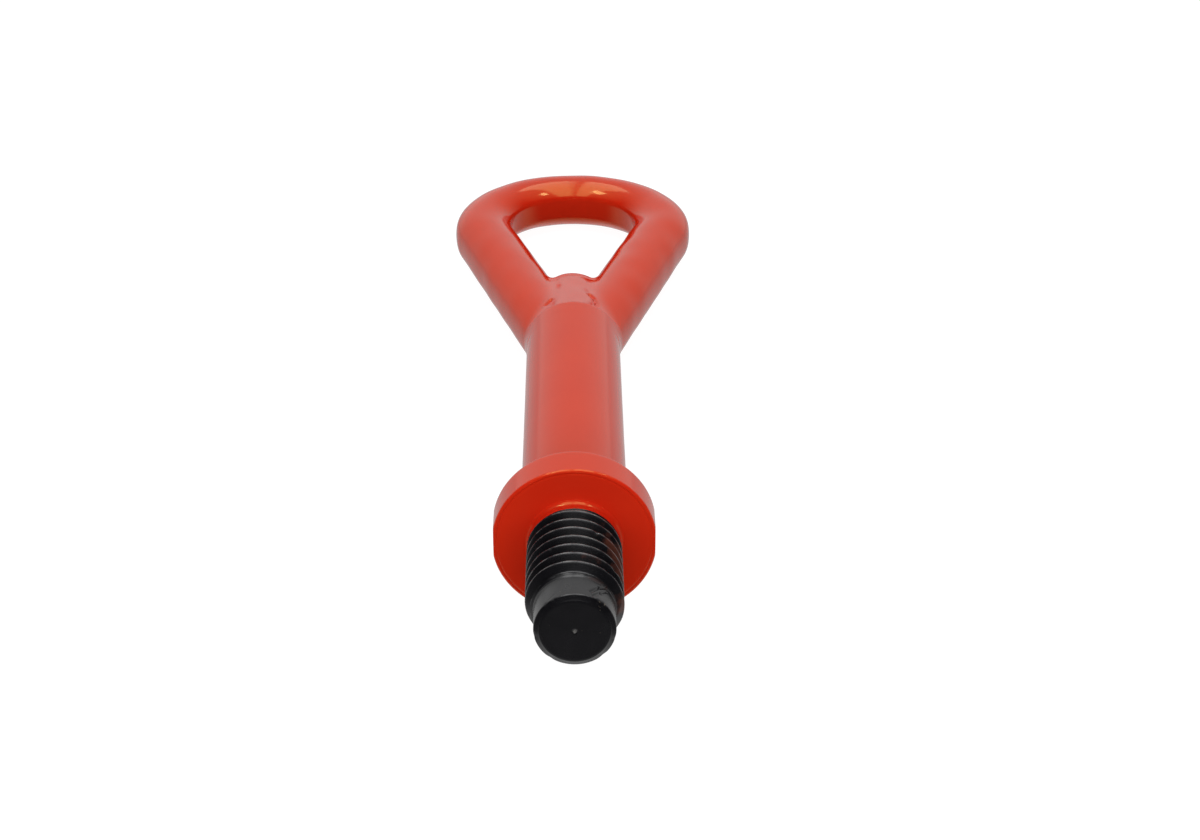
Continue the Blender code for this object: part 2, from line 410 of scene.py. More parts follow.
def skin_object(
    name: str,
    points: np.ndarray,
    faces: Sequence[Sequence[int]],
    material: bpy.types.Material,
    nodes: Sequence[Node] = (),
) -> bpy.types.Object:
    """Makes a smooth piece that rides on the frame.

    Args:
        name: The piece's name.
        points: Vertices in millimetres.
        faces: Vertex numbers of each face.
        material: Its finish.
        nodes: The frame's nodes that the piece stands for.

    Returns:
        The new object.
    """
    mesh = bpy.data.meshes.new(name)
    mesh.from_pydata((points * MM).tolist(), [], faces)
    mesh.update()
    mesh.shade_smooth()
    mesh.materials.append(material)
    piece = bpy.data.objects.new(name, mesh)
    bpy.context.scene.collection.objects.link(piece)
    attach(piece, BODY)
    if nodes:
        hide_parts(*[node.value for node in nodes])
    log.info("%s: %d faces", name, len(faces))
    return piece


def cut_end(piece: bpy.types.Object, place: float) -> None:
    """Cuts a piece square across the Y axis, and keeps what lies beyond.

    Args:
        piece: The piece to cut.
        place: Where to cut it, in millimetres.
    """
    shape = bmesh.new()
    shape.from_mesh(piece.data)
    everything = [*shape.verts, *shape.edges, *shape.faces]
    found = bmesh.ops.bisect_plane(
        shape,
        geom=everything,
        plane_co=(0.0, place * MM, 0.0),
        plane_no=(0.0, 1.0, 0.0),
        clear_inner=True,
    )
    rim = [item for item in found["geom_cut"] if isinstance(item, bmesh.types.BMEdge)]
    bmesh.ops.holes_fill(shape, edges=rim, sides=0)
    for face in shape.faces:
        face.smooth = True
    shape.to_mesh(piece.data)
    shape.free()
    piece.data.set_sharp_from_angle(angle=math.radians(50))


def arc(
    centre: tuple[float, float], radius: float, start_degrees: float, end_degrees: float, pieces: int
) -> list[tuple[float, float]]:
    """Points along a circular arc, both ends included.

    Args:
        centre: The arc's centre as (radius from the axis, place along it).
        radius: The arc's own radius.
        start_degrees: Where it starts, from the outward direction towards +Y.
        end_degrees: Where it ends.
        pieces: How many pieces it is cut into.

    Returns:
        The points, in order.
    """
    angles = np.radians(np.linspace(start_degrees, end_degrees, pieces + 1))
    return [(centre[0] + radius * math.cos(a), centre[1] + radius * math.sin(a)) for a in angles]


def straight(
    start: tuple[float, float], end: tuple[float, float], spacing: float
) -> list[tuple[float, float]]:
    """Points along a straight line, without its last point.

    Args:
        start: First point.
        end: The point where the line ends.
        spacing: The greatest distance between points.

    Returns:
        The points, in order.
    """
    length = math.hypot(end[0] - start[0], end[1] - start[1])
    count = max(1, math.ceil(length / spacing))
    shares = [i / count for i in range(count)]
    return [(start[0] + s * (end[0] - start[0]), start[1] + s * (end[1] - start[1])) for s in shares]


def arc_groove(middle: float, half: float, face: float, depth: float) -> list[tuple[float, float]]:
    """A shallow round-bottomed groove in a flat face.

    Args:
        middle: The groove's radius from the axis.
        half: Half its width.
        face: Where the face is along the axis.
        depth: How deep it is.

    Returns:
        The points across it, both ends included.
    """
    shares = [-1.0, -0.75, -0.4, 0.0, 0.4, 0.75, 1.0]
    return [(middle + half * s, face + depth * (0.5 + 0.5 * math.cos(math.pi * s))) for s in shares]


def lathe_rings(profile: Sequence[tuple[float, float]], columns: int) -> np.ndarray:
    """Carries a profile round the Y axis.

    Args:
        profile: (radius, place along the axis) points in millimetres.
        columns: Points in each ring.

    Returns:
        An array of rings, each of (x, y, z) points.
    """
    angles = np.linspace(0, 2 * math.pi, columns, endpoint=False)
    radius = np.array([p[0] for p in profile])[:, None]
    along = np.array([p[1] for p in profile])[:, None] + np.zeros(columns)
    return np.stack([radius * np.cos(angles), along, radius * np.sin(angles)], axis=-1)


def ring_faces(rows: int, columns: int, closed_ends: bool) -> list[tuple[int, ...]]:
    """Faces that join rings in order, with the first ring nearest the stud's end.

    Args:
        rows: Number of rings.
        columns: Points in each ring.
        closed_ends: True to close both ends. False joins the last ring to the first.

    Returns:
        The faces, facing out.
    """
    faces: list[tuple[int, ...]] = []
    last = rows - 1 if closed_ends else rows
    for row in range(last):
        here, after = row * columns, (row + 1) % rows * columns
        for i in range(columns):
            j = (i + 1) % columns
            faces.append((here + i, after + i, after + j, here + j))
    if closed_ends:
        faces.append(tuple(range(columns)))
        faces.append(tuple(reversed(range((rows - 1) * columns, rows * columns))))
    return faces


def waves(points: np.ndarray, length: float, seed: int) -> np.ndarray:
    """A smooth unevenness without direction, between about -1 and 1.

    Args:
        points: (x, y, z) points in millimetres.
        length: The wave length in millimetres.
        seed: Which unevenness.

    Returns:
        One number for each point.
    """
    random = np.random.default_rng(seed)
    count = 9
    total = np.zeros(points.shape[:-1])
    for _ in range(count):
        direction = random.normal(size=3)
        direction /= np.linalg.norm(direction)
        turn = 2 * math.pi / (length * random.uniform(0.75, 1.4))
        total += np.sin(points @ direction * turn + random.uniform(0, 2 * math.pi))
    return total / math.sqrt(count)


def smooth_min(a: np.ndarray, b: np.ndarray, blend: float) -> np.ndarray:
    """The lesser of two distances, with a fillet of about the blend's size."""
    share = np.clip(0.5 + 0.5 * (b - a) / blend, 0, 1)
    return b + (a - b) * share - blend * share * (1 - share)


def smooth_max(a: np.ndarray, b: np.ndarray, blend: float) -> np.ndarray:
    """The greater of two distances, with a rounded edge of about the blend's size."""
    return -smooth_min(-a, -b, blend)


def oval_distance(
    u: np.ndarray, v: np.ndarray, half_u: np.ndarray | float, half_v: np.ndarray | float
) -> np.ndarray:
    """About how far points are outside an ellipse, in the plane of the ellipse.

    Args:
        u: Distance along the first half axis.
        v: Distance along the second half axis.
        half_u: First half axis.
        half_v: Second half axis.

    Returns:
        The distances, negative inside.
    """
    share = np.hypot(u / half_u, v / half_v)
    slope = np.hypot(u / half_u**2, v / half_v**2)
    return share * (share - 1) / np.maximum(slope, 1e-6)


def net_surface(
    field: Field, low: np.ndarray, high: np.ndarray, step: float
) -> tuple[np.ndarray, np.ndarray]:
    """Nets the surface where a distance field is zero with even quads.

    Args:
        field: The distance at each of many points, negative inside.
        low: Lowest corner of the space to search.
        high: Highest corner.
        step: The size of a cell, and so about that of a quad.

    Returns:
        The vertices, and the four vertex numbers of each face.
    """
    axes = [np.arange(low[i], high[i] + step, step) for i in range(3)]
    grid = np.stack(np.meshgrid(*axes, indexing="ij"), axis=-1)
    values = field(grid.reshape(-1, 3)).reshape(grid.shape[:3])
    inside = values < 0
    corners = np.array([(i, j, k) for i in (0, 1) for j in (0, 1) for k in (0, 1)])
    cells = tuple(n - 1 for n in inside.shape)
    filled = np.zeros(cells, np.int8)
    for i, j, k in corners:
        filled += inside[i : i + cells[0], j : j + cells[1], k : k + cells[2]]
    active = (filled > 0) & (filled < len(corners))
    number = np.full(cells, -1)
    number[active] = np.arange(active.sum())
    places = np.argwhere(active)

    total = np.zeros((len(places), 3))
    count = np.zeros(len(places))
    for start in corners:
        for axis in range(3):
            if start[axis]:
                continue
            end = start.copy()
            end[axis] = 1
            first = values[tuple((places + start).T)]
            second = values[tuple((places + end).T)]
            crossed = (first < 0) != (second < 0)
            share = first[crossed] / (first[crossed] - second[crossed])
            total[crossed] += start + np.outer(share, end - start)
            count[crossed] += 1
    points = low + (places + total / count[:, None]) * step

    quads = []
    for axis in range(3):
        ahead = np.roll(inside, -1, axis=axis)
        change = inside != ahead
        edge = [slice(1, -1)] * 3
        edge[axis] = slice(0, -1)
        found = np.argwhere(change[tuple(edge)]) + [0 if i == axis else 1 for i in range(3)]
        u, v = np.eye(3, dtype=int)[[(axis + 1) % 3, (axis + 2) % 3]]
        ring = np.stack([number[tuple((found - shift).T)] for shift in (u + v, v, 0 * u, u)], axis=1)
        outwards = inside[tuple(found.T)]
        ring[~outwards] = ring[~outwards][:, ::-1]
        quads.append(ring)
    return points, np.concatenate(quads)


def settle(field: Field, points: np.ndarray, rounds: int) -> np.ndarray:
    """Moves points along the field's slope until they lie on its surface.

    Args:
        field: The distance field.
        points: Points near the surface.
        rounds: How many times to move them.

    Returns:
        The settled points.
    """
    reach, least_slope, most_step = 0.02, 0.05, 0.3
    for _ in range(rounds):
        slope = np.empty_like(points)
        for axis in range(3):
            shift = np.zeros(3)
            shift[axis] = reach
            slope[:, axis] = (field(points + shift) - field(points - shift)) / (2 * reach)
        length = np.maximum((slope**2).sum(axis=1), least_slope)
        step = (field(points) / length)[:, None] * slope
        points = points - np.clip(step, -most_step, most_step)
    return points


def relax(points: np.ndarray, faces: np.ndarray) -> np.ndarray:
    """Moves each vertex to the middle of its neighbours, which evens out the quads.

    Args:
        points: The vertices.
        faces: The four vertex numbers of each face.

    Returns:
        The moved vertices.
    """
    total = np.zeros_like(points)
    count = np.zeros(len(points))
    for i in range(4):
        here, after = faces[:, i], faces[:, (i + 1) % 4]
        np.add.at(total, here, points[after])
        np.add.at(total, after, points[here])
        np.add.at(count, here, 1)
        np.add.at(count, after, 1)
    return total / count[:, None]


# ---- Pieces ----


@dataclass
class NodeBox:
    """A frame node's box in millimetres."""

    low: np.ndarray
    high: np.ndarray

    @classmethod
    def of(cls, node: Node) -> "NodeBox":
        """Reads a node's box from the frame."""
        low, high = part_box(node.value)
        return cls(np.array(low) / MM, np.array(high) / MM)


@dataclass
class EyeForging:
    """The eye: a bent bar of oval section, its throat, and the stub of the shank.

    The two die halves met in the plane of the eye, and trimming the flash off left a narrow flat
    land with rounded edges along the bar's inner and outer sides.
    """

    box: NodeBox
    shank_radius: float
    leg_width: float = 14.0
    far_bar_width: float = 12.6
    bar_thickness: float = 12.4
    leg_lean: float = math.radians(17.0)
    corner_radius: float = 21.9
    far_arch_radius: float = 50.0
    root_length: float = 5.8
    throat_length: float = 30.3
    throat_end_width: float = 14.0
    throat_end_height: float = 10.6
    throat_start_share: float = 0.93
    root_cover: float = 1.6
    inner_land_share: float = 0.90
    outer_land_share: float = 0.97
    inner_land_edge: float = 0.35
    outer_land_edge: float = 1.0
    crease_width: float = 0.35
    crease_depth: float = 0.55
    leg_blend: float = 1.6
    shank_edge: float = 0.9
    uneven_height: float = 0.035
    uneven_length: float = 9.0
    cell: float = 0.4
    margin: float = 1.0
    cut_off: float = 2.0

    def bar_place(self, x: np.ndarray, y: np.ndarray) -> tuple[np.ndarray, np.ndarray]:
        """Where points lie across the bar.

        Args:
            x: Distance from the eye's middle plane, not negative.
            y: Place along the axis.

        Returns:
            The distance outwards from the centreline, and the bar's half width there.
        """
        top = self.box.high[1] - self.far_bar_width / 2
        widest = (self.box.high[0] - self.box.low[0]) / 2 - self.leg_width / 2
        corner_x = widest - self.corner_radius
        arch_y = top - self.far_arch_radius
        corner_y = arch_y + math.sqrt((self.far_arch_radius - self.corner_radius) ** 2 - corner_x**2)
        angle = np.arctan2(y - corner_y, x - corner_x)
        join = math.atan2(corner_y - arch_y, corner_x)

        corner = np.hypot(x - corner_x, y - corner_y) - self.corner_radius
        arch = np.hypot(x, y - arch_y) - self.far_arch_radius
        leg = (
            (x - corner_x) * math.cos(self.leg_lean)
            - (y - corner_y) * math.sin(self.leg_lean)
            - self.corner_radius
        )
        on_leg = (angle < -self.leg_lean) & (angle > -self.leg_lean - math.pi)
        offset = np.where(on_leg, leg, np.where(angle > join, arch, corner))
        share = np.clip((angle + self.leg_lean) / (join + self.leg_lean), 0, 1)
        share = np.where(on_leg, 0.0, share)
        half = (self.leg_width + share * (self.far_bar_width - self.leg_width)) / 2
        return offset, half

    def distance(self, points: np.ndarray) -> np.ndarray:
        """The eye's distance field, negative inside.

        Args:
            points: (x, y, z) points in millimetres.

        Returns:
            About how far each point is from the surface.
        """
        x, y, z = np.abs(points[:, 0]), points[:, 1], points[:, 2]
        offset, half = self.bar_place(x, y)
        inner = offset < 0
        share = np.where(inner, self.inner_land_share, self.outer_land_share)
        edge = np.where(inner, self.inner_land_edge, self.outer_land_edge)
        oval = oval_distance(offset, z, half / share, self.bar_thickness / 2)
        bar = smooth_max(oval, np.abs(offset) - half, edge)

        throat_start = self.box.low[1] + self.root_length
        throat_end = throat_start + self.throat_length
        taper = np.clip((y - throat_start) / (self.throat_length - self.throat_end_height / 2), 0, 1)
        start_radius = self.shank_radius * self.throat_start_share
        half_width = start_radius + taper * (self.throat_end_width / 2 - start_radius)
        half_height = start_radius + taper * (self.throat_end_height / 2 - start_radius)
        throat = oval_distance(x, z, half_width, half_height)
        throat = smooth_max(throat, y - throat_end, self.throat_end_height / 2)

        stub = smooth_max(np.hypot(x, z) - self.shank_radius, y - throat_start, self.shank_edge)
        whole = smooth_min(bar, throat, self.leg_blend)
        whole = whole - self.uneven_height * waves(points, self.uneven_length, seed=4)
        # The legs start inside the stub, so that the stub's end is as round as the shank.
        whole = np.maximum(whole, self.box.low[1] + self.root_cover - y)
        whole = smooth_min(whole, stub, self.shank_edge)
        return whole + self.creases(points)

    def creases(self, points: np.ndarray) -> np.ndarray:
        """The folds that the dies left on top, where the throat meets the legs.

        Args:
            points: (x, y, z) points in millimetres.

        Returns:
            How far each fold sinks the surface.
        """
        # The (x, y) places that each fold runs through.
        folds = (
            ((-5.9, 123.6), (-5.3, 125.0), (-4.9, 126.0)),
            ((3.7, 128.6), (4.6, 126.6), (5.0, 123.9), (5.3, 121.0)),
        )
        nearest = np.full(len(points), 1e3)
        for fold in folds:
            for start, end in zip(fold, fold[1:]):
                origin, run = np.array(start), np.array(end) - np.array(start)
                share = np.clip((points[:, :2] - origin) @ run / (run @ run), 0, 1)
                away = np.linalg.norm(points[:, :2] - origin - share[:, None] * run, axis=1)
                nearest = np.minimum(nearest, away)
        sunk = self.crease_depth * np.exp(-((nearest / self.crease_width) ** 2))
        return np.where(points[:, 2] > 0, sunk, 0.0)

    def build(self, material: bpy.types.Material) -> bpy.types.Object:
        """Makes the forging.

        Args:
            material: Its finish.

        Returns:
            The piece.
        """
        cell = self.cell * 1
        low = self.box.low - self.margin - [0.0, self.cut_off, 0.0]
        high = self.box.high + self.margin
        points, faces = net_surface(self.distance, low, high, cell)
        for _ in range(3):
            points = settle(self.distance, relax(points, faces), rounds=2)
        points = settle(self.distance, points, rounds=2)
        points = np.clip(points, [self.box.low[0], low[1], self.box.low[2]], self.box.high)
        piece = skin_object("eye_forging", points, faces.tolist(), material, [Node.EYE])
        cut_end(piece, float(self.box.low[1]))
        return piece


@dataclass
class ShankBar:
    """The shank: a round bar, its surface faintly uneven from forging."""

    box: NodeBox
    end: float
    overlap: float = 0.6
    uneven_height: float = 0.02
    uneven_length: float = 16.0
    columns: int = 160
    spacing: float = 1.0

    @property
    def radius(self) -> float:
        """The bar's radius."""
        return float(self.box.high[0])

    def build(self, material: bpy.types.Material) -> bpy.types.Object:
        """Makes the bar, a little longer than its node so that it meets the eye and the collar.

        Args:
            material: Its finish.

        Returns:
            The piece.
        """
        start = (self.radius, self.box.low[1] - self.overlap)
        end = (self.radius, self.end)
        rings = lathe_rings([*straight(start, end, self.spacing), end], self.columns)
        inward = rings * [1.0, 0.0, 1.0] / self.radius
        # Even at the ends, so that it is flush with its neighbours.
        place = rings[..., 1]
        room = np.minimum(place - start[1], end[1] - place) / self.uneven_length
        fade = np.clip(room, 0, 1)[..., None]
        depth = (waves(rings, self.uneven_length, seed=7)[..., None] * 0.5 - 0.5) * fade
        rings = rings + inward * depth * self.uneven_height
        faces = ring_faces(len(rings), self.columns, closed_ends=True)
        points = rings.reshape(-1, 3)
        piece = skin_object("shank_bar", points, faces, material, [Node.SHANK])
        piece.data.set_sharp_from_angle(angle=math.radians(50))
        return piece


@dataclass
class StopCollar:
    """The collar: a forged ring whose face was turned and whose flash was trimmed flat."""

    box: NodeBox
    neck_radius: float
    shank_radius: float
    front_round: float = 0.5
    back_round: float = 1.0
    back_fillet: float = 1.4
    groove_inset: float = 0.25
    groove_width: float = 0.44
    groove_depth: float = 0.12
    columns: int = 256

    @property
    def radius(self) -> float:
        """The ring's radius, which the trimmed flats don't change."""
        return float(self.box.high[2])

    def build(self, material: bpy.types.Material) -> bpy.types.Object:
        """Makes the collar.

        Args:
            material: Its finish.

        Returns:
            The piece.
        """
        front, back = float(self.box.low[1]), float(self.box.high[1])
        rim = self.radius - self.front_round
        back_rim = self.radius - self.back_round
        root = self.shank_radius + self.back_fillet
        groove = rim - self.groove_inset
        half = self.groove_width / 2
        profile = [(self.neck_radius - 1.0, front)]
        profile += straight((self.neck_radius, front), (groove - half, front), 0.5)
        profile += arc_groove(groove, half, front, self.groove_depth)
        profile += arc((rim, front + self.front_round), self.front_round, -90, 0, 7)
        profile += straight(
            (self.radius, front + self.front_round + 0.1), (self.radius, back - self.back_round), 0.7
        )
        profile += arc((back_rim, back - self.back_round), self.back_round, 0, 90, 7)
        profile += straight((back_rim - 0.1, back), (root, back), 0.7)
        profile += arc((root, back + self.back_fillet), self.back_fillet, -90, -180, 6)
        profile += [(self.shank_radius - 1.0, back + self.back_fillet)]
        rings = lathe_rings(profile, self.columns)
        flat = float(self.box.high[0])
        rings[..., 0] = np.clip(rings[..., 0], -flat, flat)
        points = rings.reshape(-1, 3)
        faces = ring_faces(len(rings), self.columns, closed_ends=False)
        piece = skin_object("stop_collar_ring", points, faces, material, [Node.COLLAR])
        piece.data.set_sharp_from_angle(angle=math.radians(40))
        return piece


@dataclass
class Stud:
    """The stud: centre-marked end, chamfer, pilot, left-hand thread and painted neck."""

    collar_front: float
    radius: float = 9.0
    pitch: float = 3.0
    depth: float = 1.56
    crest_share: float = 0.11
    root_share: float = 0.2
    crest_ease: float = 0.14
    top_crest: float = 9.2
    pilot_radius: float = 7.37
    pilot_length: float = 7.0
    chamfer_width: float = 1.0
    chamfer_length: float = 0.7
    lead_length: float = 1.5
    lip_height: float = 0.16
    lip_width: float = 0.3
    lip_reach: float = 0.075
    thread_end: float = 28.6
    run_out_length: float = 1.3
    neck_radius: float = 8.55
    paint_film: float = 0.06
    paint_overlap: float = 0.1
    foot_width: float = 1.25
    foot_fillet: float = 1.1
    tuck_in: float = 0.5
    punch_radius: float = 0.5
    punch_depth: float = 0.45
    columns: int = 360
    row_spacing: float = 0.112
    # Dents: angle in degrees from +X towards +Z, place along the axis, size and depth.
    knocks: tuple[tuple[float, float, float, float], ...] = (
        (56, 0.4, 0.7, 0.24),
        (47, 0.4, 0.8, 0.30),
        (38, 0.3, 0.6, 0.20),
        (134, 0.5, 0.8, 0.18),
        (120, 0.4, 0.6, 0.12),
        (190, 0.4, 0.8, 0.10),
        (233, 0.4, 1.0, 0.12),
        (313, 0.4, 1.1, 0.13),
        (345, 0.3, 0.7, 0.10),
        (48, 9.4, 0.8, 0.25),
        (35, 12.1, 0.9, 0.22),
        (30, 15.4, 0.8, 0.16),
        (118, 15.0, 0.6, 0.12),
        (63, 21.0, 0.7, 0.15),
        (140, 24.0, 0.6, 0.12),
    )
    # Scratches on the pilot: start and end as (angle, place), half width and depth.
    scores: tuple[tuple[tuple[float, float], tuple[float, float], float, float], ...] = (
        ((68, 2.2), (54, 4.9), 0.24, 0.20),
        ((54, 4.9), (41, 6.6), 0.24, 0.22),
        ((65, 1.1), (52, 3.4), 0.20, 0.16),
        ((52, 3.4), (40, 5.6), 0.20, 0.18),
        ((62, 0.9), (45, 4.0), 0.10, 0.09),
        ((128, 1.3), (118, 2.0), 0.10, 0.05),
    )

    def end_profile(self) -> list[tuple[float, float]]:
        """The end face with its centre mark, the chamfer and the pilot.

        Returns:
            (radius, place along the axis) points, from the middle of the end face outwards.
        """
        face = self.pilot_radius - self.chamfer_width
        steps = 6
        profile = [
            (self.punch_radius * i / steps, self.punch_depth * (1 - i / steps))
            for i in range(1, steps + 1)
        ]
        profile += straight((self.punch_radius + 0.15, 0.0), (face - 0.12, 0.0), 0.4)
        # The edge between the face and the chamfer is broken by a tenth of a millimetre.
        profile += [(face - 0.12, 0.0), (face - 0.03, 0.02), (face + 0.05, 0.08)]
        chamfer_end = (self.pilot_radius - 0.04, self.chamfer_length - 0.05)
        profile += straight((face + 0.15, 0.16), chamfer_end, 0.15)
        profile += [chamfer_end, (self.pilot_radius, self.chamfer_length + 0.08)]
        profile += straight(
            (self.pilot_radius, self.chamfer_length + 0.25),
            (self.pilot_radius, self.pilot_length - 0.5),
            0.14,
        )
        return profile

    def thread_radius(self, along: np.ndarray, angles: np.ndarray) -> np.ndarray:
        """The surface's radius over the thread.

        Args:
            along: Place along the axis.
            angles: Angle round the axis, from +X towards +Z.

        Returns:
            The radius, with the lead-in chamfer and the run-out at the neck.
        """
        # The crest moves along +Y as the angle grows, which makes the thread left-handed.
        turn = (angles - math.pi / 2) / (2 * math.pi)
        phase = (along - self.top_crest) / self.pitch - turn
        off_crest = np.abs(phase - np.round(phase))
        flank_share = 0.5 - (self.crest_share + self.root_share) / 2
        flank = (off_crest - self.crest_share / 2) / flank_share
        # Rolling leaves the crest's corners slightly round.
        eased = np.clip(flank + self.crest_ease, 0, 2 * self.crest_ease) ** 2 / (4 * self.crest_ease)
        form = np.clip(np.where(flank > self.crest_ease, flank, eased), 0, 1)
        thread = self.radius - self.depth * form
        past_pilot = along - self.pilot_length
        lead = np.clip(past_pilot / self.lead_length, 0, 1)
        outer = self.pilot_radius + (self.radius - self.pilot_radius) * lead
        # Rolling throws the pilot's corner up into a small lip.
        lip = self.lip_height * np.exp(-((past_pilot / self.lip_width) ** 2))
        outer = outer + np.where(past_pilot < self.lip_reach, lip, 0.0)
        run_out = np.clip((along - self.thread_end) / self.run_out_length + 1, 0, 1)
        floor = self.radius - self.depth * (1 - run_out)
        ceiling = self.radius - (self.radius - self.neck_radius) * run_out**2
        return np.minimum(np.maximum(thread, floor), np.minimum(outer, ceiling))

    def build_steel(self, material: bpy.types.Material) -> bpy.types.Object:
        """Makes the black part, from the end face to just inside the painted neck.

        Args:
            material: Its finish.

        Returns:
            The piece.
        """
        last = self.thread_end + 0.3
        start = self.pilot_length - 0.45
        rows = math.ceil((last - start) / (self.row_spacing * 1))
        along = np.linspace(start, last, rows)[:, None]
        angles = np.linspace(0, 2 * math.pi, self.columns, endpoint=False)[None, :]
        radius = self.thread_radius(along, angles)
        thread = np.stack(
            [radius * np.cos(angles), along + 0 * angles, radius * np.sin(angles)], axis=-1
        )
        rings = self.knock(np.concatenate([lathe_rings(self.end_profile(), self.columns), thread]))
        points = rings.reshape(-1, 3)
        faces = ring_faces(len(rings), self.columns, closed_ends=True)
        piece = skin_object("stud_steel", points, faces, material, [Node.STUD])
        piece.data.set_sharp_from_angle(angle=math.radians(60))
        return piece

    def knock(self, rings: np.ndarray) -> np.ndarray:
        """Dents the chamfer, the pilot and a few crests, and scratches the pilot.

        Args:
            rings: The stud's rings.

        Returns:
            The dented rings, nowhere further out than before.
        """
        radius = np.hypot(rings[..., 0], rings[..., 2])
        cut = np.zeros(radius.shape)
        for degrees, place, size, depth in self.knocks:
            angle = math.radians(degrees)
            reach = self.radius if place > self.pilot_length else self.pilot_radius
            centre = np.array([math.cos(angle) * reach, place, math.sin(angle) * reach])
            cut += depth * np.exp(-2 * (((rings - centre) / size) ** 2).sum(axis=-1))
        # The pilot's surface unrolled: distance round it, and place along the axis.
        turn = np.arctan2(rings[..., 2], rings[..., 0])
        flat = np.stack([turn * self.pilot_radius, rings[..., 1]], axis=-1)
        for start, end, half_width, depth in self.scores:
            first, last = (
                np.array([math.radians(degrees) * self.pilot_radius, place])
                for degrees, place in (start, end)
            )
            run = last - first
            share = np.clip((flat - first) @ run / (run @ run), 0, 1)
            away = np.linalg.norm(flat - first - share[..., None] * run, axis=-1)
            cut += depth * np.exp(-((away / half_width) ** 2))
        outside = radius > self.pilot_radius - self.chamfer_width - 0.05
        kept = 1 - np.where(outside, cut, 0.0) / np.maximum(radius, 0.1)
        return rings * np.stack([kept, np.ones_like(kept), kept], axis=-1)

    def build_neck(self, material: bpy.types.Material) -> bpy.types.Object:
        """Makes the painted neck and its filleted foot on the collar's face.

        Args:
            material: Its finish.

        Returns:
            The piece.
        """
        start = self.thread_end - self.paint_overlap
        fillet_start = self.collar_front - self.foot_fillet
        hidden = self.collar_front + 0.3
        inside = self.neck_radius - self.tuck_in
        painted = self.neck_radius + self.paint_film
        foot = self.neck_radius + self.foot_width
        profile = [(inside, start), (self.neck_radius, start), (painted, self.thread_end)]
        profile += straight((painted, self.thread_end + 0.15), (painted, fillet_start), 0.2)
        profile += arc((foot, fillet_start), foot - painted, 180, 90, 8)
        profile += [(foot, hidden), (inside, hidden)]
        rings = lathe_rings(profile, self.columns)
        # The masking left a paint edge that wanders by a tenth of a millimetre.
        angles = np.linspace(0, 2 * math.pi, self.columns, endpoint=False)
        wander = 0.1 * np.sin(5 * angles + 1.0)
        wander += 0.06 * np.sin(13 * angles) + 0.04 * np.sin(29 * angles)
        rings[:3, :, 1] += wander
        points = rings.reshape(-1, 3)
        faces = ring_faces(len(rings), self.columns, closed_ends=False)
        piece = skin_object("painted_neck", points, faces, material)
        piece.data.set_sharp_from_angle(angle=math.radians(50))
        return piece


# ---- Studio ----


class LampUse(Enum):
    """What a lamp does: light the surfaces, or only show as a highlight on them."""

    FILL = "fill"
    HIGHLIGHT = "highlight"


@dataclass(frozen=True)
class Lamp:
    """A soft light near the table that points at the piece's middle. Places are in metres."""

    name: str
    place: tuple[float, float, float]
    size: tuple[float, float]
    power: float
    use: LampUse

    def hang(self, middle: Vector) -> None:
        """Adds the light, with its second side along the Y axis.

        Args:
            middle: Where it points, in metres.
        """
        data = bpy.data.lights.new(self.name, "AREA")
        data.shape = "RECTANGLE"
        data.size, data.size_y = self.size
        data.energy = self.power
        light = bpy.data.objects.new(self.name, data)
        light.location = self.place
        reach = Vector(self.place) - middle
        lean = math.atan2(-reach.y, reach.z)
        turn = math.asin(reach.x / reach.length)
        light.rotation_euler = Euler((lean, turn, 0.0))
        light.visible_glossy = self.use is LampUse.HIGHLIGHT
        light.visible_diffuse = self.use is LampUse.FILL
        bpy.context.scene.collection.objects.link(light)


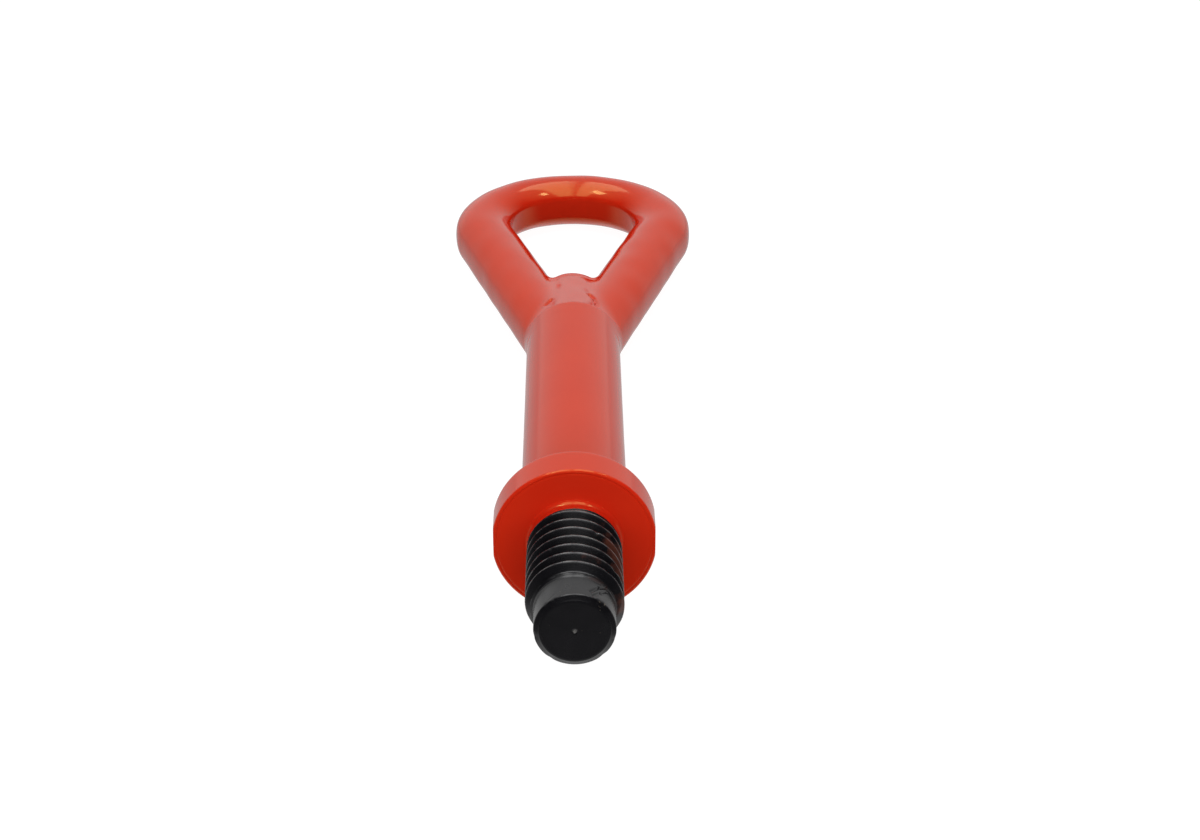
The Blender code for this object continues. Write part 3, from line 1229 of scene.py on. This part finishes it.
@dataclass
class Studio:
    """A white table, a soft light tent that is dark towards the camera, and the camera.

    The fills light the surfaces without a highlight of their own. The two panels and the two
    bulbs overhead only show as highlights, in pairs on every rounded edge. The tent's low sides
    are dimmer in reflections than in the light they give, which keeps the flanks red.
    """

    floor_hex: str = "505050"
    floor_glow: float = 0.97
    floor_roughness: float = 0.9
    floor_size: float = 6.0
    floor_gap: float = 0.05
    far_bar_half_height: float = 6.2
    far_bar_half_width: float = 6.3
    high_back: float = 0.76
    high_side: float = 0.0
    high_front: float = 0.0
    zenith: float = 0.91
    low_back: float = 0.55
    low_side: float = 1.65
    low_side_seen: float = 0.65
    low_front: float = 0.05
    straight_down: float = 0.9
    lamps: tuple[Lamp, ...] = (
        Lamp("front_fill", (0.0, -0.455, 0.12), (0.5, 0.16), 1.87, LampUse.FILL),
        Lamp("overhead", (0.0, 0.1, 1.5), (1.2, 1.2), 11.5, LampUse.FILL),
        Lamp("left_panel", (-0.35, 0.11, 1.4), (0.5, 2.5), 8.64, LampUse.HIGHLIGHT),
        Lamp("right_panel", (0.26, 0.11, 1.4), (0.52, 2.5), 8.98, LampUse.HIGHLIGHT),
        Lamp("left_bulb", (-0.66, 0.008, 1.38), (0.3, 0.35), 2.97, LampUse.HIGHLIGHT),
        Lamp("right_bulb", (0.78, 0.008, 1.38), (0.18, 0.35), 1.98, LampUse.HIGHLIGHT),
    )
    middle: tuple[float, float, float] = (0.0, 0.1, 0.0)
    lens: float = 65.24
    sensor: float = 36.0
    camera_place: tuple[float, float, float] = (0.21, -321.98, 210.17)
    camera_pitch: float = math.radians(27.576)
    camera_turn: float = math.radians(0.751)

    def add_camera(self) -> None:
        """Adds the camera, above and in front of the stud's end."""
        data = bpy.data.cameras.new("camera")
        data.lens = self.lens
        data.sensor_width = self.sensor
        data.clip_start = 0.01
        camera = bpy.data.objects.new("camera", data)
        camera.location = Vector(self.camera_place) * MM
        camera.rotation_euler = Euler((math.pi / 2 - self.camera_pitch, 0.0, -self.camera_turn))
        bpy.context.scene.collection.objects.link(camera)
        bpy.context.scene.camera = camera

    def add_floor(self) -> None:
        """Adds the floor under the collar and the eye's far bar, on which the piece lies."""
        collar_low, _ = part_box(Node.COLLAR.value)
        _, eye_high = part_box(Node.EYE.value)
        near = Vector((0.0, collar_low.y, collar_low.z))
        bar_y = eye_high.y - self.far_bar_half_width * MM
        bar_z = -self.far_bar_half_height * MM
        half = self.floor_size / 2
        mesh = bpy.data.meshes.new("floor")
        corners = [(-half, -half, 0.0), (half, -half, 0.0), (half, half, 0.0), (-half, half, 0.0)]
        mesh.from_pydata(corners, [], [(0, 1, 2, 3)])
        material, _, shader = new_material("white_paper")
        shader.inputs["Base Color"].default_value = linear(self.floor_hex)
        shader.inputs["Roughness"].default_value = self.floor_roughness
        shader.inputs["Emission Color"].default_value = (1.0, 1.0, 1.0, 1.0)
        shader.inputs["Emission Strength"].default_value = self.floor_glow
        mesh.materials.append(material)
        floor = bpy.data.objects.new("floor", mesh)
        floor.location = near - Vector((0.0, 0.0, self.floor_gap * MM))
        floor.rotation_euler = Euler((math.atan2(bar_z - near.z, bar_y - near.y), 0.0, 0.0))
        # The tent's lower half stands for the light that the table sends up.
        floor.visible_glossy = False
        floor.visible_diffuse = False
        floor.visible_shadow = False
        bpy.context.scene.collection.objects.link(floor)

    def tent_part(
        self,
        tree: bpy.types.NodeTree,
        base: bpy.types.NodeSocket | float,
        layers: Sequence[tuple[str, float, float, bpy.types.NodeSocket | float]],
    ) -> bpy.types.NodeSocket:
        """Lays radiances over one another, each where light comes from one end of an axis.

        Args:
            tree: The world's node tree.
            base: The radiance under all of them.
            layers: An axis, where a layer starts and where it is full on it, and its radiance.

        Returns:
            The radiance in every direction.
        """
        direction = add_node(tree, "ShaderNodeTexCoord").outputs["Generated"]
        axes = add_node(tree, "ShaderNodeSeparateXYZ", {"Vector": direction})
        for axis, start, full, radiance in layers:
            share = add_node(
                tree,
                "ShaderNodeMapRange",
                {"Value": axes.outputs[axis], "From Min": start, "From Max": full},
                interpolation_type="SMOOTHSTEP",
            )
            inputs = {"Factor": share.outputs["Result"], 2: base, 3: radiance}
            base = add_node(tree, "ShaderNodeMix", inputs, data_type="FLOAT").outputs[0]
        return base

    def add_light(self) -> None:
        """Adds the tent and the lamps."""
        world = bpy.data.worlds.new("light_tent")
        bpy.context.scene.world = world
        world.use_nodes = True
        tree = world.node_tree
        rays = add_node(tree, "ShaderNodeLightPath").outputs
        inputs = {"Factor": rays["Is Glossy Ray"], 2: self.low_side, 3: self.low_side_seen}
        side = add_node(tree, "ShaderNodeMix", inputs, data_type="FLOAT").outputs[0]
        # What is neither front nor back is side.
        front, back = ("Y", 0.05, -0.45), ("Y", 0.1, 0.9)
        low = self.tent_part(
            tree,
            side,
            (
                (*front, self.low_front),
                (*back, self.low_back),
                ("Z", -0.55, -0.85, self.straight_down),
            ),
        )
        high = self.tent_part(
            tree,
            self.high_side,
            ((*front, self.high_front), (*back, self.high_back), ("Z", 0.5, 0.95, self.zenith)),
        )
        tent = self.tent_part(tree, low, (("Z", -0.03, 0.03, high),))
        # The camera itself sees plain white behind the floor.
        inputs = {"Factor": rays["Is Camera Ray"], 2: tent, 3: 1.0}
        strength = add_node(tree, "ShaderNodeMix", inputs, data_type="FLOAT").outputs[0]
        background = tree.nodes["Background"]
        background.inputs["Color"].default_value = (1.0, 1.0, 1.0, 1.0)
        tree.links.new(strength, background.inputs["Strength"])
        for lamp in self.lamps:
            lamp.hang(Vector(self.middle))


def main() -> None:
    """Builds the towing eye's pieces and the studio around the frame."""
    logging.basicConfig(level=logging.INFO, format="%(name)s: %(message)s")
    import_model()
    enamel = GlossEnamel().make()
    coat = BlackCoat().make()

    eye_box = NodeBox.of(Node.EYE)
    shank = ShankBar(NodeBox.of(Node.SHANK), end=float(eye_box.low[1]))
    eye = EyeForging(eye_box, shank_radius=shank.radius)
    collar_box = NodeBox.of(Node.COLLAR)
    stud = Stud(collar_front=float(collar_box.low[1]))
    collar = StopCollar(collar_box, neck_radius=stud.neck_radius, shank_radius=shank.radius)

    eye.build(enamel)
    shank.build(enamel)
    collar.build(enamel)
    stud.build_neck(enamel)
    stud.build_steel(coat)

    studio = Studio()
    studio.add_camera()
    studio.add_floor()
    studio.add_light()
    bpy.context.scene.view_settings.view_transform = "Standard"


if __name__ == "__main__":
    main()
